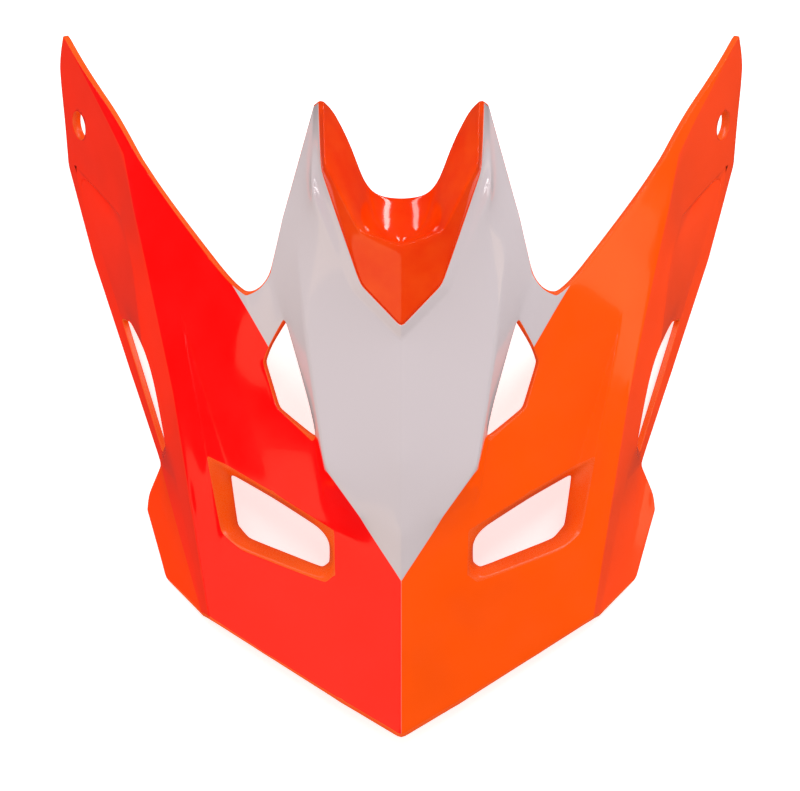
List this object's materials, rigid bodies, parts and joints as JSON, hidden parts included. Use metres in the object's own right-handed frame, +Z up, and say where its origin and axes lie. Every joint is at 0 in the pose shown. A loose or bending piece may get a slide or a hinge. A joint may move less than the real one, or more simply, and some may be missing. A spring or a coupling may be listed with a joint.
{
  "type": "motocross helmet visor",
  "caption": "Faceted moulded peak for an off-road helmet: pointed beak, open vents, long slotted side arms with fixing holes, and a separate scoop between two raised prongs.",
  "frame": {"origin": "centre of the bottom of the part's box, on the plane its arms and flares stand on", "axes": "+Z up, the beak points along -Y, the arms trail towards +Y, and +X is the wearer's left as worn"},
  "size_m": [0.2696, 0.2718, 0.1106],
  "materials": {
    "shell_plastic": "gloss, painted red, orange, coral and white in zones",
    "insert_plastic": "high gloss, self-coloured orange",
    "screw_steel": "zinc plated"
  },
  "bodies": {
    "root": {"visor_shell": "shell_plastic", "scoop_insert": "insert_plastic", "insert_screw_right": "screw_steel", "insert_screw_left": "screw_steel"}
  },
  "joints": []
}
